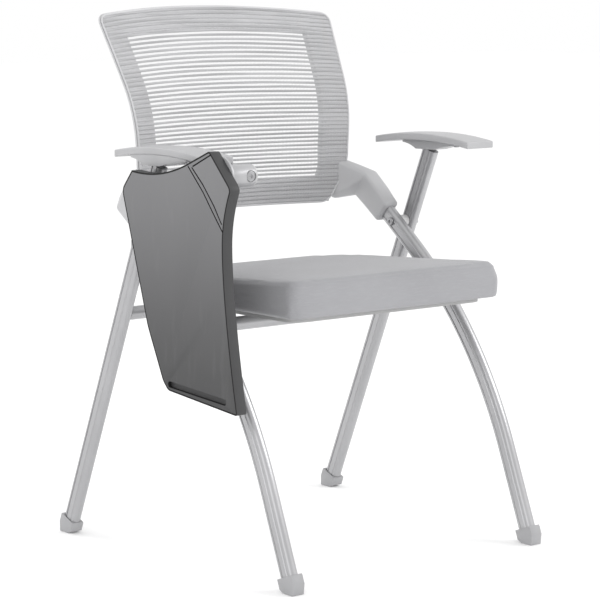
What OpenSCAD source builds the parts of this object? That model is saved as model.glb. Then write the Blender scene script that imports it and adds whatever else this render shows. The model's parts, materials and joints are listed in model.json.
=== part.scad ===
// Folding student chair with a mesh back, arm pads, a flip-up seat and a swivelling writing tablet.
// The chair faces -Y, +X is the sitter's left, and the feet stand on z = 0. All sizes are millimetres.

/* [Frame] */
// Spacing of the centre planes of the two front tubes
frame_w = 503; // [450:1:620]
// Distance on the floor between the front and the rear feet
foot_span = 555; // [460:1:680]
// Width of a leg tube across the chair
tube_x = 18; // [15:1:22]
// Depth of a leg tube in the side plane
tube_d = 30; // [25:1:36]
// Wall of the leg tubes
tube_wall = 1.5; // [1:0.1:2.5]
// Corner radius of the leg tubes
tube_corner = 7; // [3:0.5:7]
// Gap between a front tube and the rear tube beside it
tube_gap = 16; // [12:1:24]
// Lean of the lower front leg from the vertical, in degrees
leg_lean = 21.5; // [15:0.5:26]
// Lean of the upper front tube from the vertical, in degrees
upper_lean = 51.5; // [46:0.5:56]
// Centre-line radius of the front tube's bend
bend_r = 770; // [640:10:920]
// Straight length of the front tube below its bend, from the floor
leg_straight = 160; // [130:1:190]
// Straight length of the front tube above its bend
upper_straight = 165; // [150:1:185]
// Distance of the folding pivot above the end of the bend
pivot_up = 57; // [45:1:65]
// Diameter of the two cross tubes
cross_d = 22; // [18:1:26]
// Height of a foot cap
foot_h = 27; // [20:1:36]
// Wall of a foot cap around its tube
foot_wall = 2.2; // [1.5:0.1:4]
// Length of a foot cap's flat base
foot_base = 22; // [16:1:26]

/* [Pivot] */
// Diameter of the folding pivot bolt
bolt_d = 10; // [8:1:12]
// Outside diameter of the bush in the rear tube
bush_d = 14; // [13:1:18]
// Radial running clearance of every pin in its bore
run_gap = 0.06; // [0.02:0.01:0.1]
// Gap left between faces that slide or rest on each other
rest_gap = 0.3; // [0.2:0.05:0.6]

/* [Seat] */
// Height of the seat's top at its front edge
seat_h = 467; // [430:1:500]
// Width of the seat cushion
seat_w = 460; // [380:1:468]
// Depth of the seat cushion
seat_depth = 438; // [380:1:450]
// Distance of the seat's front edge ahead of the rear cross tube
seat_reach = 358; // [300:1:370]
// Thickness of the cushion at its front edge
seat_thick = 60; // [45:1:75]
// Drop of the cushion's top from front to rear
seat_drop = 26; // [10:1:32]
// Thickness of the seat pan
pan_t = 8; // [7:1:14]
// Inset of the seat pan inside the cushion
pan_inset = 30; // [12:1:40]
// Thickness of the rubber rests under the seat
rest_t = 4; // [3:1:8]

/* [Back] */
// Height of the back's top corners
back_top = 858; // [780:1:920]
// Height of the back's bottom edge
back_bottom = 536; // [510:1:560]
// Half width of the back at its top corners
back_half = 242; // [200:1:243]
// Narrowing of each side of the back towards its bottom
back_taper = 22; // [10:1:30]
// Rise of the back's arched top edge
back_arch = 13.5; // [8:0.5:30]
// Depth of the back's hollow from side to side
back_hollow = 42; // [20:1:60]
// Thickness of the back's frame
back_t = 13; // [8:1:18]
// Width of the frame beside its window
back_side = 50; // [30:1:60]
// Width of the frame above its window
back_head = 36; // [20:1:45]
// Width of the frame below its window
back_foot = 41; // [25:1:60]
// Thickness of the mesh sheet
mesh_t = 1.6; // [1:0.1:3]
// Lean of the back's upper part from the vertical, in degrees
back_lean = 27.5; // [12:0.5:28]

/* [Arms] */
// Length of an arm pad
pad_len = 231; // [180:1:250]
// Width of an arm pad
pad_w = 60; // [45:1:66]
// Thickness of an arm pad
pad_t = 12.5; // [9:0.5:18]
// Rise of the pad's arch over its ends
pad_arch = 9.5; // [4:0.5:14]
// Height of the pad's underside at its ends
pad_z = 639; // [600:1:670]
// Distance of the pad's middle ahead of the rear tube
pad_ahead = 15.5; // [0:0.5:40]

/* [Tablet] */
// Length of the writing tablet below its swivel
board_len = 344; // [290:1:380]
// Width of the tablet at its swivel end
board_w = 272; // [240:1:300]
// Thickness of the tablet
board_t = 18; // [14:1:24]
// Height of the swivel axis
swivel_z = 625; // [600:1:640]
// Distance of the swivel axis ahead of the arm pad
swivel_ahead = 50; // [44:1:70]
// Diameter of the swivel barrel
barrel_d = 35; // [32:1:44]
// Diameter of the swivel spindle
spindle_d = 20; // [14:1:22]
// Diameter of the tilt pin
tilt_d = 10; // [8:1:12]
// Depth of the pen groove
pen_depth = 6; // [4:0.5:8]
// Width of the pen groove
pen_w = 10; // [8:0.5:16]

/* [Hidden] */
$fn = 64;
eps = 0.5;

// ---- Places that follow from the sizes above. A point is [y, z] in the side plane. ----
front_x = frame_w / 2;
rear_x = front_x + tube_x + tube_gap;
foot_y = foot_span / 2;
function up_line(p, lean, s) = [p[0] + s * sin(lean), p[1] + s * cos(lean)];
leg_base = [-foot_y, 0];
bend_low = up_line(leg_base, leg_lean, leg_straight);
bend_top = bend_low + bend_r * [cos(leg_lean) - cos(upper_lean), sin(upper_lean) - sin(leg_lean)];
bend_mid = bend_low + bend_r * [cos(leg_lean), -sin(leg_lean)];
pivot = up_line(bend_top, upper_lean, pivot_up);
rear_lean = -atan((foot_y - pivot[0]) / pivot[1]);
rear_base = [foot_y, 0];
tube_lift = 10;
function rear_y(z) = foot_y + z * tan(rear_lean);
function front_y(z) = bend_low[0]
    + bend_r * (cos(leg_lean) - cos(asin(sin(leg_lean) + (z - bend_low[1]) / bend_r)));

cushion_z = seat_h - seat_thick;
pan_z = cushion_z - pan_t;
cross_r = cross_d / 2;
front_cross = [front_y(pan_z - rest_t - rest_gap - cross_r), pan_z - rest_t - rest_gap - cross_r];
rear_cross_z = pan_z - 2 - cross_r;
rear_cross = [rear_y(rear_cross_z), rear_cross_z];
seat_front = rear_cross[0] - seat_reach;

pad_shift = 11.5;
pad_x = rear_x - pad_shift;
pad_outer = pad_x + pad_w / 2;
pad_in_r = (pad_len * pad_len / 4 + pad_arch * pad_arch) / (2 * pad_arch);
tube_top_z = pad_z - 3;
pad_y = rear_y(tube_top_z) - pad_ahead;
pad_front = pad_y - pad_len / 2;
pad_arc = [pad_y, pad_z + pad_arch - pad_in_r];

swivel = [pad_front - swivel_ahead, swivel_z];
barrel_in = pad_x - pad_w / 2 + 5;
barrel_out = pad_outer - 7;
cap_t = 3;
tilt_x = barrel_in + 13;
flange_t = 7;
hub_t = 3;
board_in = barrel_out + rest_gap + flange_t + hub_t + 0.4;
board_out = board_in + board_t;
foot_ledge = 1;
front_most = leg_base[0] + (tube_lift + 1) * sin(leg_lean)
    - (tube_d / 2 + foot_wall + foot_ledge) * cos(leg_lean);
rear_most = foot_y + (tube_lift + 1) * sin(rear_lean) + (tube_d / 2 + foot_wall) * cos(rear_lean);
centre_shift = [(board_out - pad_outer) / 2, -(front_most + rear_most) / 2, 0];
flange_in = board_in - flange_t - hub_t;

// ---- Shared shapes ----
module placed() translate(centre_shift) children();
module on_side(s) mirror([s < 0 ? 1 : 0, 0, 0]) children();
module both_sides() for (s = [-1, 1]) on_side(s) children();
module rounded(w, d, r) {
    square([w - 2 * r, d], center = true);
    square([w, d - 2 * r], center = true);
    for (x = [-1, 1], y = [-1, 1]) translate([x * (w / 2 - r), y * (d / 2 - r)]) circle(r);
}
module tube_section(grow = 0) rounded(tube_x + 2 * grow, tube_d + 2 * grow, tube_corner + grow);
module on_line(p, lean) translate([0, p[0], p[1]]) rotate([-lean, 0, 0]) children();
module across(p, x0, x1) translate([x0, p[0], p[1]]) rotate([0, 90, 0])
    linear_extrude(x1 - x0) rotate(90) children();
module rod(p, x0, x1, r) translate([x0, p[0], p[1]]) rotate([0, 90, 0]) cylinder(h = x1 - x0, r = r);
module slab(x0, x1) rotate([90, 0, 90]) translate([0, 0, x0]) linear_extrude(x1 - x0) children();
function arc_points(p, q, sag, n = 10) =
    let (d = q - p, side = [-d[1], d[0]] / norm(d))
    [for (i = [0:n]) let (t = i / n) p + d * t + side * sag * 4 * t * (1 - t)];
function curve(p, pull, q, n = 5) =
    [for (i = [0:n]) let (t = i / n) (1 - t) * (1 - t) * p + 2 * t * (1 - t) * pull + t * t * q];
function round_corner(a, b, c, r, n = 5) =
    curve(b + (a - b) / norm(a - b) * r, b, b + (c - b) / norm(c - b) * r, n);
small_hole_r = 2.5;
module socket_screw(length, r, head_r, head_h) {
    difference() {
        translate([0, 0, -head_h]) cylinder(h = head_h, r = head_r);
        translate([0, 0, -head_h - eps]) cylinder(h = head_h * 0.6 + eps, r = r * 0.62, $fn = 6);
    }
    cylinder(h = length, r = r);
}

// ---- Front frame: bent tubes, cross tube, feet and back ----
// The straight ends reach a little into the bend and are a hair slimmer, so that they join it cleanly.
seam = 3;
seam_slim = 0.02;
module front_path(grow) {
    on_line(up_line(leg_base, leg_lean, tube_lift), leg_lean)
        linear_extrude(leg_straight - tube_lift + seam) tube_section(grow - seam_slim);
    translate([0, bend_mid[0], bend_mid[1]]) rotate([90, 0, 90]) rotate(180 - upper_lean)
        rotate_extrude(angle = upper_lean - leg_lean) translate([bend_r, 0])
            rotate(90) tube_section(grow);
    on_line(up_line(bend_top, upper_lean, -seam), upper_lean)
        linear_extrude(upper_straight + seam) tube_section(grow - seam_slim);
}
module front_tube(s) placed() color("silver") on_side(s) translate([front_x, 0, 0]) difference() {
    front_path(0);
    front_path(-tube_wall);
    rod(pivot, -tube_x, tube_x, bolt_d / 2);
    for (k = [0, 1]) back_screw_hole(k);
}
module front_cross_tube() placed() color("silver") difference() {
    rod(front_cross, -front_x + tube_x / 2, front_x - tube_x / 2, cross_r);
    rod(front_cross, -front_x, front_x, cross_r - tube_wall);
}
module foot(base, lean) {
    half = tube_d / 2 + foot_wall;
    function at(a, s) = up_line(base, lean, s) + a * [cos(lean), -sin(lean)];
    difference() {
        slab(-tube_x / 2 - foot_wall, tube_x / 2 + foot_wall) polygon([
            base + [-foot_base / 2, 0], base + [foot_base / 2, 0], at(half, tube_lift + 1),
            at(half, foot_h), at(-half, foot_h), at(-half - foot_ledge, foot_h - 3),
            at(-half - foot_ledge, tube_lift + 1)]);
        on_line(up_line(base, lean, tube_lift), lean) linear_extrude(foot_h) tube_section();
    }
}
module front_foot(s) placed() color("gainsboro") on_side(s) translate([front_x, 0, 0])
    foot(leg_base, leg_lean);
module rear_foot(s) placed() color("gainsboro") on_side(s) translate([rear_x, 0, 0])
    foot(rear_base, rear_lean);

// The back is a sheet over [x, z], bent by three rules: its lean, its hollow and its arch.
back_low = 600;
back_knee = 655;
edge_cuts = 12;
knee_r = 210;
back_y0 = pivot[0] + 91;
function lean_y(z) = let (
    up = max(0, z - back_knee), turn = knee_r * sin(back_lean))
    up < turn ? knee_r - sqrt(knee_r * knee_r - up * up)
              : knee_r * (1 - cos(back_lean)) + (up - turn) * tan(back_lean);
function half_at(z) = back_half - back_taper
    + back_taper * pow(max(0, min(1, (z - back_knee + 30) / (back_top - back_knee + 30))), 1.25);
function back_point(x, z, depth) = let (
    wide = x * half_at(z) / back_half, rise = max(0, (z - back_knee) / (back_top - back_knee)))
    [wide, back_y0 + lean_y(z) + back_hollow * (1 - pow(x / back_half, 2)) + depth,
     z + back_arch * rise * (1 - pow(x / back_half, 2))];
function outline(corners, radii) = [for (i = [0:len(corners) - 1]) let (
    n = len(corners), a = corners[(i + n - 1) % n], b = corners[i], c = corners[(i + 1) % n])
    each concat(round_corner(a, b, c, radii[i]),
        [for (k = [1:edge_cuts - 1]) let (p = b + (c - b) / norm(c - b) * radii[i],
            q = c + (b - c) / norm(b - c) * radii[(i + 1) % n]) p + (q - p) * k / edge_cuts])];
low_half = back_half * 0.85;
win_half = back_half - back_side;
win_low = back_bottom + back_foot;
back_edge = outline([[back_half, back_low], [back_half, back_top], [-back_half, back_top],
    [-back_half, back_low], [-low_half, back_bottom], [low_half, back_bottom]],
    [24, 16, 16, 24, 16, 16]);
window_edge = outline([[win_half, win_low + 20], [win_half, back_top - back_head],
    [-win_half, back_top - back_head], [-win_half, win_low + 20],
    [-win_half + 6, win_low], [win_half - 6, win_low]], [6, 5, 5, 6, 3, 3]);
ring_steps = len(back_edge);
function quads(n, m) = [for (i = [0:n - 1], j = [0:m - 1]) let (
    a = i * m + j, b = i * m + (j + 1) % m, c = ((i + 1) % n) * m + j,
    d = ((i + 1) % n) * m + (j + 1) % m) each [[a, b, d], [a, d, c]]];
module band(outer, inner, front, rear) {
    section = [[0, front], [0.33, front], [0.67, front], [1, front],
        [1, rear], [0.67, rear], [0.33, rear], [0, rear]];
    points = [for (i = [0:ring_steps - 1]) for (s = section) let (
        p = outer[i] + (inner[i] - outer[i]) * s[0]) back_point(p[0], p[1], s[1])];
    polyhedron(points, quads(ring_steps, len(section)), convexity = 6);
}
module soft_block(size) {
    r = 6;
    for (x = [-1, 1], y = [-1, 1], z = [-1, 1])
        translate([x * (size[0] / 2 - r), y * (size[1] / 2 - r), z * (size[2] / 2 - r)])
            sphere(r, $fn = 20);
}
sleeve_low = up_line(pivot, upper_lean, 22);
// A sleeve's blocks: distance up the tube, rise above it, shift inwards, width, depth.
block_len = 14;
sleeve_blocks = [[0, 0, 1, 32, 42], [34, 1, 1, 34, 45], [70, 0, 1, 34, 48], [94, -4, 18, 28, 48]];
module sleeve_block(k) {
    b = sleeve_blocks[k];
    p = up_line(sleeve_low, upper_lean, b[0] + block_len / 2)
        + b[1] * [-cos(upper_lean), sin(upper_lean)];
    translate([front_x - b[2], p[0], p[1]]) rotate([-upper_lean, 0, 0]) soft_block([b[3], b[4], block_len]);
}
module sleeve() {
    last = len(sleeve_blocks) - 1;
    for (k = [0:last - 1]) hull() {
        sleeve_block(k);
        sleeve_block(k + 1);
    }
    for (k = [last - 1, last]) hull() {
        sleeve_block(k);
        for (z = [back_low + 1, back_bottom + 14])
            translate([half_at(back_low) - 13, back_y0 + 17, z]) sphere(12, $fn = 24);
    }
}
module back_frame() placed() color("darkgray") difference() {
    union() {
        band(back_edge, window_edge, 0, back_t);
        both_sides() sleeve();
    }
    both_sides() translate([front_x, 0, 0]) {
        on_line(bend_top, upper_lean) linear_extrude(upper_straight) tube_section(0.05);
        for (k = [0, 1]) back_screw_hole(k);
    }
    band(scale_edge(back_edge, 1.06), scale_edge(back_edge, 0.2), -60, 0);
}
mesh_gap = 0.6;
function scale_edge(edge, f) = let (mid = [0, back_low + 80]) [for (p = edge) mid + (p - mid) * f];
module back_mesh() placed() color("darkgray") sheet(back_edge, -mesh_t - mesh_gap, -mesh_gap);
module sheet(edge, front, rear) {
    rings = [1, 0.86, 0.7, 0.52, 0.34, 0.17];
    mid_z = (back_top + back_bottom) / 2;
    n = len(edge);
    m = len(rings);
    function spot(i, f, d) = back_point(edge[i][0] * f, mid_z + (edge[i][1] - mid_z) * f, d);
    points = concat(
        [for (i = [0:n - 1]) for (f = rings) spot(i, f, front)],
        [for (i = [0:n - 1]) for (f = rings) spot(i, f, rear)],
        [back_point(0, mid_z, front), back_point(0, mid_z, rear)]);
    far = n * m;
    faces = concat(
        [for (i = [0:n - 1], j = [0:m - 2]) let (k = (i + 1) % n, a = i * m + j, b = k * m + j)
            each [[a, a + 1, b + 1], [a, b + 1, b], [far + a, far + b + 1, far + a + 1],
                [far + a, far + b, far + b + 1]]],
        [for (i = [0:n - 1]) let (k = (i + 1) % n, a = i * m, b = k * m, e = m - 1)
            each [[a, b, far + b], [a, far + b, far + a], [a + e, 2 * far, b + e],
                [far + a + e, far + b + e, 2 * far + 1]]]);
    polyhedron(points, faces, convexity = 4);
}
trim_w = 2.3;
function grow(d) = let (mid = [0, 690]) [for (p = back_edge) p + (p - mid) / norm(p - mid) * d];
module mesh_edge_trim() placed() color("silver") difference() {
    band(grow(rest_gap + trim_w), grow(rest_gap), 2, 9);
    both_sides() slab(back_half - 60, front_x + 60) translate([back_y0, back_low])
        polygon([[-36, 4], [56, 40], [56, -110], [-36, -110]]);
}
module back_screw_hole(k) {
    rod(back_screw_at(k), -tube_x - 12, tube_x, small_hole_r);
}
function back_screw_at(k) = up_line(pivot, upper_lean, 55 + 30 * k);
module back_screws() placed() color("dimgray") both_sides() translate([front_x, 0, 0])
    for (k = [0, 1]) rod(back_screw_at(k), -tube_x / 2 - 6, tube_x / 2, small_hole_r - 0.05);

// ---- Folding pivot ----
bolt_head = 3.5;
bolt_head_r = bolt_d * 0.7;
nut_t = 4;
module pivot_bolts() placed() color("dimgray") both_sides()
    translate([front_x - tube_x / 2, pivot[0], pivot[1]]) rotate([0, 90, 0])
        socket_screw(2 * tube_x + tube_gap + nut_t, bolt_d / 2, bolt_head_r, bolt_head);
module pivot_spacers() placed() color("gray") both_sides() difference() {
    rod(pivot, front_x + tube_x / 2, rear_x - tube_x / 2 - rest_gap, bolt_d);
    rod(pivot, front_x, rear_x, bolt_d / 2);
}
module pivot_nuts() placed() color("dimgray") both_sides() difference() {
    translate([rear_x + tube_x / 2 + rest_gap, pivot[0], pivot[1]]) rotate([0, 90, 0])
        cylinder(h = nut_t - rest_gap, r = bolt_d * 0.9, $fn = 6);
    rod(pivot, rear_x, rear_x + tube_x, bolt_d / 2);
}

// ---- Rear frame: straight tubes, cross tube, feet and arms ----
module rear_path(grow) on_line(up_line(rear_base, rear_lean, tube_lift), rear_lean)
    linear_extrude((tube_top_z) / cos(rear_lean) - tube_lift - 6) tube_section(grow);
module rear_tube(s) placed() color("silver") on_side(s) translate([rear_x, 0, 0]) difference() {
    rear_path(0);
    rear_path(-tube_wall);
    rod(pivot, -tube_x, tube_x, bush_d / 2);
}
module rear_cross_tube() placed() color("silver") difference() {
    rod(rear_cross, -rear_x + tube_x / 2, rear_x - tube_x / 2, cross_r);
    rod(rear_cross, -rear_x, rear_x, cross_r - tube_wall);
}
module pivot_bushes() placed() color("white") both_sides() difference() {
    rod(pivot, rear_x - tube_x / 2, rear_x + tube_x / 2, bush_d / 2);
    rod(pivot, rear_x - tube_x, rear_x + tube_x, bolt_d / 2 + run_gap);
}
module pad_shell(low, high, x0, x1) difference() {
    rod(pad_arc, x0, x1, pad_in_r + high);
    rod(pad_arc, x0 - 1, x1 + 1, pad_in_r + low);
}
screw_y = [pad_y - 46, pad_y + 46];
module pad_screw_at(y, r, z0, z1) translate([rear_x, y, z0]) cylinder(h = z1 - z0, r = r);
module arm_pad(s) placed() color("lightgray") on_side(s) difference() {
    intersection() {
        translate([pad_x, pad_y, pad_z - 20]) linear_extrude(60) rounded(pad_w, pad_len, 3);
        pad_shell(0, pad_t, pad_x - pad_w, pad_x + pad_w, $fn = 360);
    }
    for (y = screw_y) pad_screw_at(y, small_hole_r, pad_z - 10, pad_z + pad_arch + 5);
    if (s < 0) for (y = bracket_screw_y) translate([bracket_x, y, pad_z - 10])
        cylinder(h = 10 + pad_arch + 4, r = small_hole_r);
}
support_w = 34;
support_low = pad_z - 8;
support_half = 72;
module arm_support(s) placed() color("lightgray") on_side(s) difference() {
    slab(rear_x - support_w / 2, rear_x + support_w / 2) polygon(concat(
        arc_points([pad_y - support_half, pad_z + 2], [rear_y(support_low) - 21, support_low], 2),
        arc_points([rear_y(support_low) + 21, support_low], [pad_y + support_half, pad_z + 2], 2),
        [[pad_y + support_half, pad_z + 16], [pad_y - support_half, pad_z + 16]]));
    pad_shell(0, 40, rear_x - support_w, rear_x + support_w, $fn = 360);
    translate([rear_x, 0, 0]) rear_path(0);
    for (y = screw_y) {
        pad_screw_at(y, small_hole_r, pad_z - 20, pad_z + 20);
        pad_screw_at(y, small_hole_r * 2, pad_z - 20, pad_z + 1);
    }
}
module arm_screws() placed() color("dimgray") both_sides() for (y = screw_y)
    translate([rear_x, y, pad_z + 1]) socket_screw(pad_arch + 3, small_hole_r, 4.6, 3);

// ---- Tablet carrier on the sitter's right arm ----
ear_t = 6;
ear_y = swivel[0] + barrel_d / 2 + 1;
bracket_x = pad_x - pad_w / 2 + 8;
bracket_w = 26;
bracket_screw_y = [pad_front + 22, pad_front + 62];
module right_side() mirror([1, 0, 0]) children();
module tablet_bracket() placed() color("gray") right_side() difference() {
    union() {
        translate([tilt_x - 18, ear_y, swivel_z - 18]) cube([36, ear_t, 34]);
        translate([bracket_x - bracket_w / 2, ear_y, pad_z - 8])
            cube([bracket_w, pad_front + 84 - ear_y, 16]);
    }
    pad_shell(0, 60, bracket_x - bracket_w, bracket_x + bracket_w, $fn = 360);
    translate([tilt_x - 60, ear_y - eps, pad_z + 2]) cube([120, pad_front - ear_y + eps, 40]);
    translate([tilt_x, ear_y - 1, swivel_z]) rotate([-90, 0, 0]) cylinder(h = ear_t + 2, r = tilt_d / 2);
    for (y = bracket_screw_y) translate([bracket_x, y, pad_z - 20]) cylinder(h = 60, r = small_hole_r);
}
module bracket_screws() placed() color("dimgray") right_side() for (y = bracket_screw_y)
    translate([bracket_x, y, pad_z - 8]) socket_screw(8 + pad_arch, small_hole_r, 4.6, 3);
tilt_recess = 4;
tilt_head_r = tilt_d * 0.8;
module tilt_pin() placed() color("dimgray") right_side()
    translate([tilt_x, swivel[0] - barrel_d / 2 + tilt_recess, swivel_z]) rotate([-90, 0, 0])
        socket_screw(barrel_d - tilt_recess + 1 + ear_t, tilt_d / 2, tilt_head_r, 3);
// The spindle runs in the barrel's outer end, and its ring turns in a room behind that bearing.
room_from = tilt_x + 14;
room_to = tilt_x + 21;
ring_from = tilt_x + 16;
ring_t = 3;
ring_neck = 1.2;
module swivel_barrel() placed() color("silver") right_side() difference() {
    rod(swivel, barrel_in + cap_t, barrel_out, barrel_d / 2);
    rod(swivel, room_to - 1, barrel_out + 1, spindle_d / 2 + run_gap);
    rod(swivel, room_from, room_to, spindle_d / 2 + 4);
    translate([tilt_x, swivel[0] - barrel_d, swivel_z]) rotate([-90, 0, 0])
        cylinder(h = 2 * barrel_d, r = tilt_d / 2 + run_gap);
    translate([tilt_x, swivel[0] - barrel_d / 2 - 1, swivel_z]) rotate([-90, 0, 0])
        cylinder(h = tilt_recess + 1 + rest_gap, r = tilt_head_r + 1);
}
module barrel_cap() placed() color("lightgray") right_side()
    rod(swivel, barrel_in, barrel_in + cap_t, barrel_d / 2 - 1);

// ---- Writing tablet. Its outline is seen from the side, relative to the swivel axis. ----
neck = 39.5;
board_front = swivel[0] - 43;
board_rear = board_front + board_w;
board_low = swivel_z - board_len;
waist = [board_front + 14, swivel_z - 101];
board_nose = [board_front - 4, swivel_z - 12.5];
board_point = [board_front - 19, board_low - 7];
function board_points() = let (
    crown = [board_front + 46, swivel_z + neck], elbow = [board_front + 101, swivel_z + neck - 22],
    shoulder = [board_rear - 27, swivel_z - 1], heel = [board_rear, swivel_z - 32],
    flank = [board_rear - 66, board_low + 102], toe = [board_rear - 105, board_low + 22],
    tip = [board_rear - 118, board_low + 9])
    concat(round_corner(board_point, board_nose, crown, 6), round_corner(board_nose, crown, elbow, 4),
        arc_points(elbow, shoulder, -9), round_corner(shoulder, heel, flank, 10),
        curve(flank + [3, 9], flank, flank - [3, 6]), round_corner(flank, toe, tip, 5),
        round_corner(toe, tip, board_point, 5), round_corner(tip, board_point, board_nose, 5),
        curve(board_point + [4, 24], [waist[0], waist[1] - 77], waist, 8),
        curve(waist, waist + [0, 41], board_nose - [0, 7], 6));
flange_r = barrel_d / 2 + 13.5;
flange_screw_r = barrel_d / 2 + 6.5;
module flange_screw_places() for (a = [0:90:270])
    translate([0, flange_screw_r * cos(a), flange_screw_r * sin(a)]) children();
// The board's inner face is relieved where it passes the arm pad while it tilts.
relief_depth = 11;
relief_low = swivel_z - 40;
module tablet_board() placed() color("dimgray") right_side() difference() {
    slab(board_in, board_out) polygon(board_points());
    pen_groove();
    slab(board_in - 1, board_in + relief_depth) translate([board_front + 82, relief_low])
        square([board_w, neck + 60]);
    flange_screw_places() rod(swivel, board_in - 1, board_in + 9, 2.2);
}
pen_from = [swivel[0] - 31, board_low + 10];
pen_to = [swivel[0] + 106, board_low + 19];
module pen_groove() {
    turn = atan((pen_to[1] - pen_from[1]) / (pen_to[0] - pen_from[0]));
    length = norm(pen_to - pen_from);
    slab(board_out - pen_depth, board_out + 1) translate(pen_from) rotate(turn) {
        translate([0, -pen_w / 2]) square([length, pen_w]);
        circle(pen_w / 2);
        translate([length, 0]) circle(pen_w / 2);
    }
}
module tablet_flange() placed() color("silver") right_side() difference() {
    union() {
        rod(swivel, board_in - flange_t / 2, board_in, flange_r);
        rod(swivel, flange_in, board_in - flange_t / 2, barrel_d / 2 + 1);
    }
    rod(swivel, flange_in - 1, board_in + 1, spindle_d / 2);
    flange_screw_places() rod(swivel, flange_in, board_in + 1, 2.2);
}
module swivel_spindle() placed() color("dimgray") right_side() difference() {
    rod(swivel, room_from + 0.5, board_in, spindle_d / 2);
    difference() {
        rod(swivel, ring_from, ring_from + ring_t, spindle_d);
        rod(swivel, ring_from - 1, ring_from + ring_t + 1, spindle_d / 2 - ring_neck);
    }
}
module spindle_ring() placed() color("gray") right_side() difference() {
    rod(swivel, ring_from, ring_from + ring_t, spindle_d / 2 + 3);
    rod(swivel, ring_from - 1, ring_from + ring_t + 1, spindle_d / 2 - ring_neck);
}
module tablet_screws() placed() color("dimgray") right_side() flange_screw_places()
    translate([board_in - flange_t / 2, swivel[0], swivel_z])
        rotate([0, 90, 0]) socket_screw(flange_t / 2 + 9, 2.2, 3.8, 2.4);

// ---- Seat ----
pan_w = seat_w - 2 * pan_inset;
hinge_x = seat_w * 0.27;
function seat_outline(inset, front_r, rear_r) = let (
    w = seat_w / 2 - inset, a = seat_front + inset, b = seat_front + seat_depth - inset)
    concat(round_corner([w, b], [w, a], [-w, a], front_r, 7), round_corner([w, a], [-w, a], [-w, b], front_r, 7),
        round_corner([-w, a], [-w, b], [w, b], rear_r, 9), round_corner([-w, b], [w, b], [w, a], rear_r, 9));
module seat_cushion() placed() color("lightgray") hull() {
    top_lean = atan(seat_drop / seat_depth);
    translate([0, 0, cushion_z]) linear_extrude(1) polygon(seat_outline(6, 20, 95));
    translate([0, 0, cushion_z + seat_thick * 0.45]) rotate([-top_lean * 0.3, 0, 0])
        linear_extrude(1) polygon(seat_outline(0, 24, 100));
    translate([0, seat_front, seat_h - 1]) rotate([-top_lean, 0, 0]) translate([0, -seat_front, 0])
        linear_extrude(1) polygon(seat_outline(7, 24, 95));
    translate([0, rear_cross[0] - seat_reach * 0.37, seat_h - 14])
        cylinder(h = 14, r = 60, $fn = 32);
}
module seat_pan() placed() color("darkgray") difference() {
    translate([0, 0, pan_z]) linear_extrude(pan_t) polygon(seat_outline(pan_inset, 30, 80));
    both_sides() hinge_screw_places() translate([0, 0, pan_z - 1]) cylinder(h = screw_bite + 1, r = 2);
}
hinge_low = rear_cross_z - cross_r - 5;
screw_reach = cross_r + 3.5;
screw_bite = 6;
module hinge_screw_places() for (x = [-10, 10], y = [-screw_reach, screw_reach])
    translate([hinge_x + x, rear_cross[0] + y, 0]) children();
module seat_hinge(s) placed() color("gray") on_side(s) difference() {
    translate([hinge_x - 17, rear_cross[0] - cross_r - 7, hinge_low])
        cube([34, cross_d + 14, pan_z - hinge_low]);
    rod(rear_cross, hinge_x - 20, hinge_x + 20, cross_r + run_gap);
    hinge_screw_places() translate([0, 0, hinge_low - 1]) cylinder(h = pan_z - hinge_low + 2, r = 2);
}
module seat_rests() placed() color("dimgray") both_sides()
    translate([hinge_x - 15, front_cross[0] - 14, pan_z - rest_t]) cube([30, 28, rest_t]);
module seat_screws() placed() color("dimgray") both_sides() hinge_screw_places()
    translate([0, 0, hinge_low]) socket_screw(pan_z - hinge_low + screw_bite, 2, 3.4, 2);

front_tube(1);  // front_tube_left
front_tube(-1);  // front_tube_right
front_cross_tube();
front_foot(1);  // front_foot_left
front_foot(-1);  // front_foot_right
back_frame();
back_mesh();
mesh_edge_trim();
back_screws();
pivot_bolts();
pivot_spacers();
pivot_nuts();
rear_tube(1);  // rear_tube_left
rear_tube(-1);  // rear_tube_right
rear_cross_tube();
rear_foot(1);  // rear_foot_left
rear_foot(-1);  // rear_foot_right
pivot_bushes();
arm_support(1);  // arm_support_left
arm_support(-1);  // arm_support_right
arm_pad(1);  // arm_pad_left
arm_pad(-1);  // arm_pad_right
arm_screws();
tablet_bracket();
bracket_screws();
tilt_pin();
seat_cushion();
seat_pan();
seat_hinge(1);  // seat_hinge_left
seat_hinge(-1);  // seat_hinge_right
seat_rests();
seat_screws();
swivel_barrel();
barrel_cap();
tablet_board();
tablet_flange();
swivel_spindle();
spindle_ring();
tablet_screws();
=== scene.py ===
"""Folding student chair with a mesh back and a writing tablet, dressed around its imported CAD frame."""

import itertools
import json
import math

import bmesh
import bpy
from bpy.props import FloatProperty, FloatVectorProperty, PointerProperty
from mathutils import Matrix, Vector
from mathutils.geometry import intersect_point_line


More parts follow.
